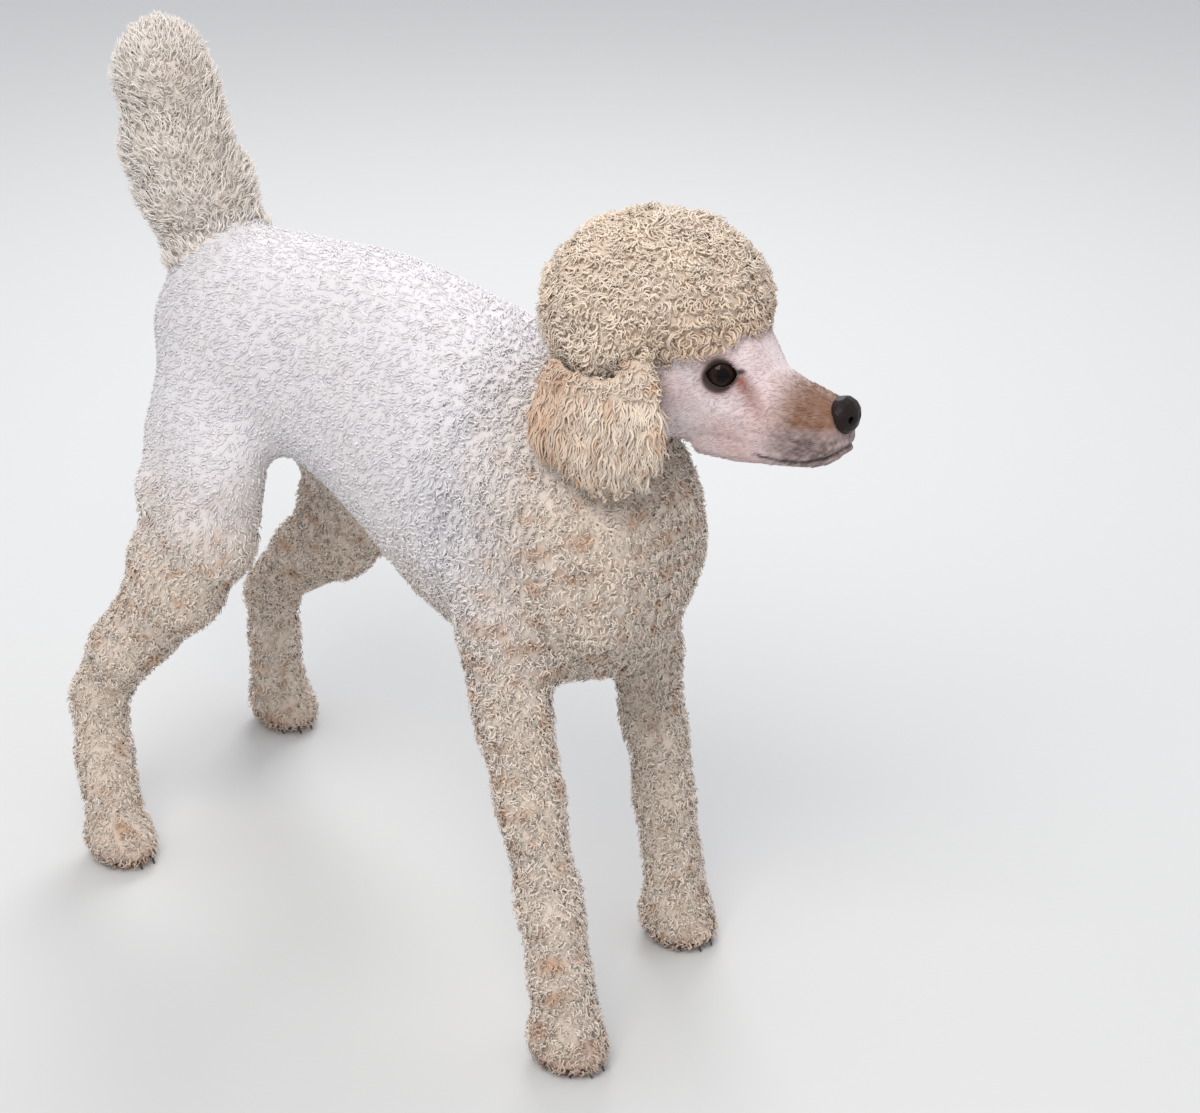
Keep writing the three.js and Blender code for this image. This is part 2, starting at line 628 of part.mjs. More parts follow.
// The space that holds one leg, larger by the gap where it cuts the trunk
function legRegion(name, grow = 0) {
  const { side, elbow } = LEGS[name];
  const slab = (x0, x1, inner, top) => {
    const [y0, y1] = side < 0 ? [-320, -inner + grow] : [inner - grow, 320];
    return block([x0 - grow, y0, -20], [x1 + grow, y1, top + grow]);
  };
  if (name.endsWith("hind")) {
    const low = beyond(HIND_CUT.point, HIND_CUT.direction, -grow);
    return slab(-560, HIND_CUT.front, HIND_CUT.inner, 460).intersect(low);
  }
  const { top, inner, reach, low } = FORE_CUT;
  return slab(elbow[0] - reach, elbow[0] + reach, inner, top).add(slab(elbow[0] - reach, 420, 0, low));
}

const body = trimmed(wholeBody());
const above = beyond(NECK_BASE.point, NECK_BASE.direction);
const headSide = beyond(NECK_TOP.point, NECK_TOP.direction);
const headSideCut = beyond(NECK_TOP.point, NECK_TOP.direction, -GAP);
const aboveCut = beyond(NECK_BASE.point, NECK_BASE.direction, -GAP);

const nodes = {};
nodes.torso = Object.keys(LEGS).reduce(
  (rest, name) => rest.subtract(legRegion(name, GAP)),
  body.subtract(aboveCut),
);
nodes.neck = body.intersect(above).subtract(headSideCut);

const eyes = { eye_right: onHead(eyeBall(-1)), eye_left: onHead(eyeBall(1)) };
const sockets = [-1, 1].map((side) => onHead(eyeBall(side, GAP)));
const face = [-1, 1].map((side) => onHead(lidShell(side)));
const openings = [-1, 1].map((side) => onHead(eyeOpening(side)));
nodes.head = join([body.intersect(headSide), ...face, onHead(upperLips())])
  .subtract(onHead(underMouth(0)))
  .subtract(join([...openings, ...sockets]));
nodes.lower_jaw = join([body.intersect(headSide), onHead(lowerLips())]).intersect(onHead(underMouth(GAP)));
Object.assign(nodes, eyes);

// The same solid with a little room on every side
const withRoom = (solid) => {
  const room = GAP * 1.5;
  const ways = [[room, 0, 0], [-room, 0, 0], [0, room, 0], [0, -room, 0], [0, 0, room], [0, 0, -room]];
  return join(ways.map((way) => solid.translate(way)));
};

const grownBody = wholeBody(GAP + TRIM);
const grownNeck = withRoom(nodes.neck);
const grownFace = join([grownBody, ...[-1, 1].map((side) => onHead(lidShell(side, GAP))), onHead(upperLips())]);
nodes.nose = onHead(trimmed(noseSolid(), 0.4)).subtract(grownFace);
nodes.topknot = trimmed(onHead(topknotSolid()).subtract(grownFace).subtract(grownNeck), 0.08);
const grownTopknot = onHead(topknotDome(TOPKNOT_ROOM + GAP));
for (const [name, side] of [["ear_right", -1], ["ear_left", 1]]) {
  nodes[name] = trimmed(earSolid(side).subtract(grownBody).subtract(grownNeck).subtract(grownTopknot), 0.08);
}
nodes.tail = tailSolid().subtract(grownBody);

for (const [name, leg] of Object.entries(LEGS)) {
  const whole = body.intersect(legRegion(name));
  nodes[`${name}_leg`] = whole.subtract(block([-600, -400, -30], [500, 400, PAW_CUT + GAP]));
  nodes[`${name}_paw`] = trimmed(
    pawSolid(leg)
      .add(whole)
      .intersect(block([-600, -400, 0], [500, 400, PAW_CUT])),
  );
}

// Materials

const COAT_LOOK = { color: 0xe6d3bd, roughness: 0.95, metalness: 0 };
const FACE_LOOK = { color: 0xdcc3b4, roughness: 0.9, metalness: 0 };
const NOSE_LOOK = { color: 0x3a2a26, roughness: 0.45, metalness: 0 };
const DARK_EYE = { color: 0x140d0a, roughness: 0.1, metalness: 0 };
const EAR_LOOK = { color: 0xd9b48c, roughness: 0.95, metalness: 0 };

const LOOKS = {
  nose: NOSE_LOOK,
  eye_right: DARK_EYE,
  eye_left: DARK_EYE,
  head: FACE_LOOK,
  lower_jaw: FACE_LOOK,
  ear_right: EAR_LOOK,
  ear_left: EAR_LOOK,
};

const dog = new THREE.Group();
for (const [name, solid] of Object.entries(nodes)) {
  const mesh = new THREE.Mesh(geometryOf(largest(solid)), new THREE.MeshStandardMaterial(LOOKS[name] ?? COAT_LOOK));
  mesh.name = name;
  dog.add(mesh);
}

// The part's origin is on the floor under the middle of its box
const box = new THREE.Box3().setFromObject(dog);
const middle = box.getCenter(new THREE.Vector3());
dog.position.set(-middle.x, -middle.y, 0);

export default dog;
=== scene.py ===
import math

import bpy
import numpy as np
from mathutils import Matrix, Vector
from mathutils.bvhtree import BVHTree


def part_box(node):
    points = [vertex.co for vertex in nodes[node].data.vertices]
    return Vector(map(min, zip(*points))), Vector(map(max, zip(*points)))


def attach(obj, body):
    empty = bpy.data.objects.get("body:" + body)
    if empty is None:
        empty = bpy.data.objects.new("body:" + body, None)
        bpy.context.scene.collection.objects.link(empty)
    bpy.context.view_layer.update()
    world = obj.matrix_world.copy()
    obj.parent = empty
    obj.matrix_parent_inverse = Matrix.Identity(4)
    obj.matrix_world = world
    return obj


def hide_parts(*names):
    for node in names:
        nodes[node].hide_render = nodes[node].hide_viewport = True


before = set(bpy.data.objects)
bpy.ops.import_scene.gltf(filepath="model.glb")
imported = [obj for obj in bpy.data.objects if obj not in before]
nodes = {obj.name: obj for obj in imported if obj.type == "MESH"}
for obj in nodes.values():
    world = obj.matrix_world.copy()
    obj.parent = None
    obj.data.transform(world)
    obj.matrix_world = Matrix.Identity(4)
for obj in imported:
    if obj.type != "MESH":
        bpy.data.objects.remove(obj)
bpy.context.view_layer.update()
bpy.ops.object.select_all(action="DESELECT")

# Hide of a standard poodle: one soft skin over muscle and bone, from the paws to the tip of the tail. It is
# cast from the CAD flesh, which is melted into one body, smoothed, and drawn in by the depth of the coat
# that grows on it.
LEGS = ["right_fore", "left_fore", "right_hind", "left_hind"]
FLESH = ["torso", "neck", "head", "lower_jaw", "topknot", "tail"]
FLESH += [f"{leg}_{part}" for leg in LEGS for part in ("leg", "paw")]
COAT_DEPTH = {"torso": 0.0030, "neck": 0.0040, "head": 0.0070, "lower_jaw": 0.0070, "topknot": 0.0004}
COAT_DEPTH["tail"] = 0.0015
COAT_DEPTH.update({f"{leg}_leg": 0.0018 for leg in LEGS})
COAT_DEPTH.update({f"{leg}_paw": 0.0016 for leg in LEGS})
HIDE_GRAIN = 0.0052
SEAM_SWELL = 0.0006
EASING_ROUNDS = 50
EASE, PAW_EASE = 0.5, 0.12
GIVING_BACK_ROUNDS = 60


# The CAD solids stand 0.3 mm apart, so each is swollen by twice that before they melt into one.
def melted(names, voxel, smoothing, label, behind=None):
    bpy.ops.object.select_all(action="DESELECT")
    copies = []
    for name in names:
        copy = nodes[name].copy()
        copy.data = nodes[name].data.copy()
        copy.parent = None
        bpy.context.collection.objects.link(copy)
        copy.hide_render = copy.hide_viewport = False
        copy.select_set(True)
        bpy.context.view_layer.objects.active = copy
        bpy.ops.object.mode_set(mode="EDIT")
        bpy.ops.mesh.select_all(action="SELECT")
        bpy.ops.mesh.remove_doubles(threshold=1e-6)
        bpy.ops.transform.shrink_fatten(value=SEAM_SWELL)
        if behind is not None:
            point, way = behind
            bpy.ops.mesh.select_all(action="SELECT")
            bpy.ops.mesh.bisect(plane_co=point, plane_no=way, use_fill=True, clear_inner=True)
        bpy.ops.object.mode_set(mode="OBJECT")
        copy.select_set(False)
        copies.append(copy)
    for copy in copies:
        copy.select_set(True)
    bpy.context.view_layer.objects.active = copies[0]
    if len(copies) > 1:
        bpy.ops.object.join()
    body = bpy.context.view_layer.objects.active
    body.name = label
    remesh = body.modifiers.new("melt", "REMESH")
    remesh.mode = "VOXEL"
    remesh.voxel_size = voxel
    bpy.ops.object.modifier_apply(modifier=remesh.name)
    smooth = body.modifiers.new("settle", "SMOOTH")
    smooth.iterations = smoothing
    smooth.factor = 0.5
    bpy.ops.object.modifier_apply(modifier=smooth.name)
    body.data.materials.clear()
    body.select_set(False)
    return body


def numbers_of(thing, what):
    flat = np.empty(len(thing.data.vertices) * 3)
    thing.data.vertices.foreach_get(what, flat)
    return flat.reshape(-1, 3)


def reshape(thing, points):
    thing.data.vertices.foreach_set("co", points.ravel())
    thing.data.update()
    thing.data.polygons.foreach_set("use_smooth", np.ones(len(thing.data.polygons), dtype=bool))


def triangles_of(thing):
    thing.data.calc_loop_triangles()
    flat = np.empty(len(thing.data.loop_triangles) * 3, dtype=np.int64)
    thing.data.loop_triangles.foreach_get("vertices", flat)
    return flat.reshape(-1, 3)


def nearest_flesh(points):
    corners, faces, owner = [], [], []
    for place, name in enumerate(FLESH):
        mesh = nodes[name].data
        first = len(corners)
        corners += [v.co.copy() for v in mesh.vertices]
        faces += [[first + i for i in face.vertices] for face in mesh.polygons]
        owner += [place] * len(mesh.polygons)
    tree = BVHTree.FromPolygons(corners, faces)
    return np.array([owner[tree.find_nearest(Vector(p))[2]] for p in points])


hide = melted(FLESH, HIDE_GRAIN, 6, "hide")
hide_points = numbers_of(hide, "co")
belongs = np.array(FLESH)[nearest_flesh(hide_points)]
ends = np.empty(len(hide.data.edges) * 2, dtype=np.int64)
hide.data.edges.foreach_get("vertices", ends)
ends = ends.reshape(-1, 2)
neighbours = np.bincount(ends.ravel(), minlength=len(hide_points))


def averaged(values):
    total = np.bincount(ends[:, 0], values[ends[:, 1]], len(values))
    total = total + np.bincount(ends[:, 1], values[ends[:, 0]], len(values))
    return total / neighbours


# The clumps of the CAD coat are eased away. What the easing takes off a limb as a whole is then given back
# to it.
ease = np.where(np.char.endswith(belongs, "_paw"), PAW_EASE, EASE)
clumped = hide_points
for _ in range(EASING_ROUNDS):
    mean = np.column_stack([averaged(hide_points[:, i]) for i in range(3)])
    hide_points = hide_points + (mean - hide_points) * ease[:, None]
reshape(hide, hide_points)
smooth_out = numbers_of(hide, "normal")
taken = np.sum((clumped - hide_points) * smooth_out, axis=1)
for _ in range(GIVING_BACK_ROUNDS):
    taken = 0.4 * taken + 0.6 * averaged(taken)
hide_points = hide_points + smooth_out * taken[:, None]
reshape(hide, hide_points)
depth = np.empty(len(hide_points))
for name in FLESH:
    depth[belongs == name] = COAT_DEPTH[name]
for _ in range(8):
    depth = 0.5 * depth + 0.5 * averaged(depth)
hide_points = hide_points - numbers_of(hide, "normal") * depth[:, None]
hide_points[:, 2] = np.maximum(hide_points[:, 2], 0.0)
reshape(hide, hide_points)
hide_triangles = triangles_of(hide)
hide_part = belongs[hide_triangles[:, 0]]

# The head's own frame sits midway between the eyes with +X along the muzzle, in millimetres. It is found
# again from the CAD eyes, whose centres lie at EYE_FORWARD, EYE_ASIDE to each side, and EYE_UP in it.
HEAD_SCALE = 1.02
HEAD_YAW, HEAD_NOD = 10, -4
EYE_FORWARD, EYE_ASIDE, EYE_UP = 3, 25.6, -1
eye_boxes = {side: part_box(f"eye_{side}") for side in ("right", "left")}
eye_places = {side: (Vector(low) + Vector(high)) / 2 for side, (low, high) in eye_boxes.items()}
eye_radius = (eye_boxes["left"][1][2] - eye_boxes["left"][0][2]) / 2
between_eyes = (eye_places["right"] + eye_places["left"]) / 2
head_turn = Matrix.Rotation(math.radians(HEAD_YAW), 4, "Z") @ Matrix.Rotation(math.radians(HEAD_NOD), 4, "Y")
head_frame = head_turn @ Matrix.Scale(HEAD_SCALE * 0.001, 4)
head_frame = Matrix.Translation(between_eyes - head_frame @ Vector((EYE_FORWARD, 0, EYE_UP))) @ head_frame
into_head = np.array(head_frame.inverted())


def moved(points, matrix):
    return points @ matrix[:3, :3].T + matrix[:3, 3]


def soft(values, start, end):
    share = np.clip((values - start) / (end - start), 0, 1)
    return share * share * (3 - 2 * share)


# Hide and hair share their colours: cream over most of the dog, apricot in the depth of the curls,
# rust brown round the feet that deepens towards the floor as painted ground shade, a bluish white painted
# along the back as skylight, a whiter brush on the tail, and pale gold on the topknot.
CREAM = np.array([0.84, 0.74, 0.64])
PALE_GOLD = np.array([0.86, 0.74, 0.60])
SKYLIT_WHITE = np.array([0.80, 0.79, 0.82])
BRUSH_WHITE = np.array([0.87, 0.82, 0.77])
APRICOT = np.array([0.60, 0.34, 0.19])
RUST_AND_GROUND_SHADE = np.array([0.42, 0.20, 0.09])


def cloudy(points, size, seed):
    waves = np.random.default_rng(seed).normal(size=(6, 3)) * (2.2 / size)
    shifts = np.random.default_rng(seed + 1).uniform(0, 6.28, 6)
    return np.sin(points @ waves.T + shifts).mean(axis=1) * 1.6


def mottled(points):
    patch, blot, speck = (cloudy(points, size, seed) for size, seed in ((0.030, 3), (0.016, 4), (0.008, 5)))
    return patch, blot, speck


def tinted(base, other, share):
    return base + (other - base) * np.reshape(np.clip(share, 0, 1), (-1, 1))


def body_colour(points):
    patch, blot, speck = mottled(points)
    # Painted skylight: the top of the back, behind the shoulders, is painted a bluish white and kept free of
    # apricot.
    skylit_top = soft(points[:, 2], 0.27, 0.44) * (1 - soft(points[:, 0], 0.10, 0.24))
    colour = tinted(CREAM, SKYLIT_WHITE, skylit_top + 0.08 * patch)
    warm = (1 - skylit_top) * soft(blot + 0.5 * speck + 0.3 * patch, 0.1, 1.3)
    colour = tinted(colour, APRICOT, 0.65 * warm)
    # Rust brown round the feet, deepening towards the floor as painted ground shade.
    return tinted(colour, RUST_AND_GROUND_SHADE, (0.035 - points[:, 2]) / 0.06 + 0.14 * patch)


def tail_colour(points):
    patch, _, _ = mottled(points)
    return tinted(CREAM, BRUSH_WHITE, 0.85 + 0.2 * patch)


def topknot_colour(points):
    patch, blot, speck = mottled(points)
    local = moved(points, into_head)
    brow = soft(-local[:, 2], -70, -25) * soft(local[:, 0], -60, 0)
    colour = tinted(CREAM, PALE_GOLD, 0.8 + 0.3 * patch)
    return tinted(colour, APRICOT, 0.03 + 0.32 * brow + 0.24 * soft(blot + 0.4 * speck, 0.2, 1.3))


def paint(thing, colours):
    layer = thing.data.color_attributes.new("hair", "FLOAT_COLOR", "POINT")
    layer.data.foreach_set("color", np.column_stack([np.clip(colours, 0, 1), np.ones(len(colours))]).ravel())


hide_colour = body_colour(hide_points)
for name, colour_of in (("topknot", topknot_colour), ("tail", tail_colour)):
    chosen = belongs == name
    hide_colour[chosen] = colour_of(hide_points[chosen])
# Painted shade: the hide is tinted apricot and darkened to 0.93, so the skin under the coat reads shaded.
paint(hide, tinted(hide_colour, APRICOT, 0.08) * 0.93)

# Face: clipped almost to the skin, so it is cast finer, with the line of the mouth pressed in and the lips
# and cheeks raised. It is pink and white, tan on the bridge, grey round the lips, and stained brown by
# tears below the eyes.
FACE_GRAIN = 0.0015
NAP_DEPTH = 0.0006

# These places and heights are in the head's own frame, in millimetres.
FACE_BACK = -56
MOUTH_LINE = np.array([[30, -63], [48, -66], [68, -65], [86, -59], [104, -48]], dtype=float)
CHEEK_HEIGHT, LIP_HEIGHT, MOUTH_DEPTH = 1.5, 0.9, 1.7
BRIDGE_HALF_WIDTH = 8
TEAR_X, TEAR_Z, TEAR_LENGTH = 22, -4, 24
EYE_CORNER_X, EYE_CORNER_Z = 21.5, 2.0
FACE_PINK = np.array([0.64, 0.46, 0.44])
FACE_WHITE = np.array([0.78, 0.68, 0.69])
TAN = np.array([0.22, 0.11, 0.065])
LIP_GREY = np.array([0.17, 0.115, 0.105])
TEAR_BROWN = np.array([0.26, 0.09, 0.06])
DARK_SKIN_AND_SHADE = np.array([0.035, 0.020, 0.018])


def above_mouth(local):
    return local[:, 2] - np.interp(local[:, 0], MOUTH_LINE[:, 0], MOUTH_LINE[:, 1])


def eye_distance(local):
    apart = [local[:, 0] - EYE_FORWARD, np.abs(local[:, 1]) - EYE_ASIDE, local[:, 2] - EYE_UP]
    return np.linalg.norm(np.column_stack(apart), axis=1)


def band(distance, width):
    return np.exp(-((distance / width) ** 2))


def face_colour(points):
    local = moved(points, into_head)
    x, y, z = local.T
    patch = cloudy(points, 0.018, 7)
    speck = cloudy(points, 0.0035, 9)
    beside_bridge = np.abs(y) > BRIDGE_HALF_WIDTH
    colour = tinted(FACE_PINK, FACE_WHITE, 0.55 + 0.5 * patch)
    bridge = soft(x, 34, 68) * soft(z, -48, -32)
    colour = tinted(colour, TAN, bridge * (1.0 + 0.15 * patch + 0.1 * speck))
    lips = soft(x, 28, 62) * soft(-z, 32, 46)
    colour = tinted(colour, LIP_GREY, lips * (0.86 + 0.25 * patch + 0.30 * speck))
    run = np.clip(((x - TEAR_X) * 0.55 + (z - TEAR_Z) * -0.83) / TEAR_LENGTH, 0, 1)
    off_streak = np.hypot(x - TEAR_X - run * 13.2, z - TEAR_Z + run * 19.9)
    colour = tinted(colour, TEAR_BROWN, band(off_streak, 5.5) * (0.95 - 0.55 * run) * beside_bridge)
    off_eye = eye_distance(local)
    colour = tinted(colour, TEAR_BROWN, 0.5 * band(off_eye - 15, 5.5))
    # Painted shade: a dark ring round the eye, partly the dark lid skin and partly the shade of the eye
    # socket.
    colour = tinted(colour, DARK_SKIN_AND_SHADE, 1.0 - soft(off_eye, 15.8, 18.6))
    off_corner = np.hypot(x - EYE_CORNER_X, (z - EYE_CORNER_Z) * 1.9)
    colour = tinted(colour, DARK_SKIN_AND_SHADE, 0.95 * (1 - soft(off_corner, 2.0, 5.5)) * beside_bridge)
    return tinted(colour, DARK_SKIN_AND_SHADE, 0.92 * band(above_mouth(local), 1.7) * soft(x, 25, 33))


back_of_face = (head_frame @ Vector((FACE_BACK, 0, 0)), head_turn @ Vector((1, 0, 0)))
face = melted(["head", "lower_jaw"], FACE_GRAIN, 9, "face", behind=back_of_face)
face_points = numbers_of(face, "co") - numbers_of(face, "normal") * NAP_DEPTH
in_head = moved(face_points, into_head)
from_mouth = above_mouth(in_head)
mouth = band(from_mouth, 1.5) * soft(in_head[:, 0], 24, 32)
cheek = np.exp(-(((in_head[:, 0] - 2) / 20) ** 2) - ((in_head[:, 2] + 34) / 16) ** 2)
lip_roll = band(from_mouth - 4.5, 3.0) * soft(in_head[:, 0], 34, 50) * LIP_HEIGHT
push = cheek * CHEEK_HEIGHT + lip_roll - mouth * MOUTH_DEPTH
face_points = face_points + numbers_of(face, "normal") * (push * 0.001)[:, None]
reshape(face, face_points)
face_triangles = triangles_of(face)
paint(face, face_colour(face_points))

# Ears: a soft, thin leather that hangs each side from a root behind the eye. It is cast thinner than the
# hair that covers it, and is warmer in colour than the body, most of all to the rear.
EAR_GRAIN = 0.0028
EAR_COAT_DEPTH = 0.0028


def ear_colour(points):
    _, blot, speck = mottled(points)
    rear = soft(-moved(points, into_head)[:, 0], 62, 112)
    colour = tinted(CREAM, PALE_GOLD, 0.6)
    return tinted(colour, APRICOT, 0.04 + 0.45 * rear + 0.65 * soft(blot + 0.3 * speck, 0.2, 1.1))


ears = {}
for side in ("right", "left"):
    leather = melted([f"ear_{side}"], EAR_GRAIN, 8, f"ear_leather_{side}")
    reshape(leather, numbers_of(leather, "co") - numbers_of(leather, "normal") * EAR_COAT_DEPTH)
    ear_points = numbers_of(leather, "co")
    # Painted shade: the leather is tinted apricot and darkened to 0.85 under its hair.
    paint(leather, tinted(ear_colour(ear_points), APRICOT, 0.2) * 0.85)
    ears[side] = (leather, ear_points, triangles_of(leather))


# Skin and undercoat: dull, with the faint sheen of fine hair. The face and the ears are joined to the hide,
# so the whole dog wears one skin.
def dull_finish(label, roughness):
    material = bpy.data.materials.new(label)
    material.use_nodes = True
    shader = material.node_tree.nodes["Principled BSDF"]
    shader.inputs["Roughness"].default_value = roughness
    return material, material.node_tree, shader


def show_paint(tree, shader):
    colour = tree.nodes.new("ShaderNodeAttribute")
    colour.attribute_name = "hair"
    tree.links.new(colour.outputs["Color"], shader.inputs["Base Color"])


def coat_material(label, roughness):
    material, tree, shader = dull_finish(label, roughness)
    shader.inputs["Specular IOR Level"].default_value = 0.2
    shader.inputs["Sheen Weight"].default_value = 0.3
    shader.inputs["Sheen Roughness"].default_value = 0.5
    show_paint(tree, shader)
    return material, tree, shader


hide_material, hide_tree, hide_shader = coat_material("hide and undercoat", 0.9)
hair_place = hide_tree.nodes.new("ShaderNodeTexCoord")
hair_grain = hide_tree.nodes.new("ShaderNodeTexNoise")
hair_grain.inputs["Scale"].default_value = 520.0
hair_grain.inputs["Detail"].default_value = 4
hair_grain.inputs["Distortion"].default_value = 1.2
raised = hide_tree.nodes.new("ShaderNodeBump")
raised.inputs["Strength"].default_value = 0.6
raised.inputs["Distance"].default_value = 0.0015
hide_tree.links.new(hair_place.outputs["Object"], hair_grain.inputs["Vector"])
hide_tree.links.new(hair_grain.outputs["Fac"], raised.inputs["Height"])
hide_tree.links.new(raised.outputs["Normal"], hide_shader.inputs["Normal"])
for piece in [face, *(leather for leather, _, _ in ears.values()), hide]:
    piece.select_set(True)
bpy.context.view_layer.objects.active = hide
bpy.ops.object.join()
hide.select_set(False)
hide.data.materials.append(hide_material)
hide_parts(*FLESH, "ear_right", "ear_left")
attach(hide, "root")

# Curls: the coat is thousands of thin coiled tufts. Each rises from its root in the hide, turns about once,
# leans over along the lie of the coat, and gathers with its neighbours into a soft lock. It is a flat,
# tapered tube of three sides, open at the root and closed at the tip.
FULL_TURN = 6.283
TUFT_SIDES = 3
TUFT_FLATNESS = 1.6
TRIAL_ROOTS = 2.6
UNROLL_EDGE = 0.02
UNROLL_SLICES = 9
TUFT_PATCH = 0.003
OFF_FLOOR = 0.0004


def scattered(points, faces, spacing, seed):
    rng = np.random.default_rng(seed)
    a, b, c = (points[faces[:, i]] for i in range(3))
    cross = np.cross(b - a, c - a)
    area = np.linalg.norm(cross, axis=1) / 2
    wanted = int(area.sum() / spacing**2 * TRIAL_ROOTS)
    chosen = rng.choice(len(faces), wanted, p=area / area.sum())
    u, v = rng.random(wanted), rng.random(wanted)
    flip = u + v > 1
    u[flip], v[flip] = 1 - u[flip], 1 - v[flip]
    roots = a[chosen] + u[:, None] * (b - a)[chosen] + v[:, None] * (c - a)[chosen]
    normals = cross[chosen] / (2 * area[chosen])[:, None]
    cell = np.floor(roots / spacing + rng.random(3)).astype(np.int64)
    _, first = np.unique(cell, axis=0, return_index=True)
    return roots[first], normals[first]


def unrolled(points, axis):
    other = [i for i in range(3) if i != axis]
    along = points[:, axis]
    low, high = along.min(), along.max()
    knots = np.linspace(low, high, UNROLL_SLICES)
    middle = np.empty((len(points), 2))
    for i, k in enumerate(other):
        slices = [points[np.abs(along - knot) < (high - low) / UNROLL_SLICES + 1e-4, k] for knot in knots]
        middles = [(s.min() + s.max()) / 2 if len(s) else points[:, k].mean() for s in slices]
        middle[:, i] = np.interp(along, knots, middles)
    turn = np.arctan2(points[:, other[1]] - middle[:, 1], points[:, other[0]] - middle[:, 0])
    used = 1 - 2 * UNROLL_EDGE
    round_about = UNROLL_EDGE + used * (turn / math.tau + 0.5)
    return np.column_stack([round_about, UNROLL_EDGE + used * (along - low) / (high - low)])


def sewn(label, points, quads, caps, uv):
    corners = np.concatenate([quads.ravel(), caps.ravel()])
    starts = [np.arange(len(quads)) * 4, quads.size + np.arange(len(caps)) * TUFT_SIDES]
    mesh = bpy.data.meshes.new(label)
    mesh.vertices.add(len(points))
    mesh.vertices.foreach_set("co", points.ravel())
    mesh.loops.add(len(corners))
    mesh.loops.foreach_set("vertex_index", corners)
    mesh.polygons.add(len(quads) + len(caps))
    mesh.polygons.foreach_set("loop_start", np.concatenate(starts))
    mesh.polygons.foreach_set("use_smooth", np.ones(len(quads) + len(caps), dtype=bool))
    mesh.update(calc_edges=True)
    mesh.uv_layers.new(name="OFBake").data.foreach_set("uv", uv[corners].ravel())
    thing = bpy.data.objects.new(label, mesh)
    bpy.context.collection.objects.link(thing)
    return thing


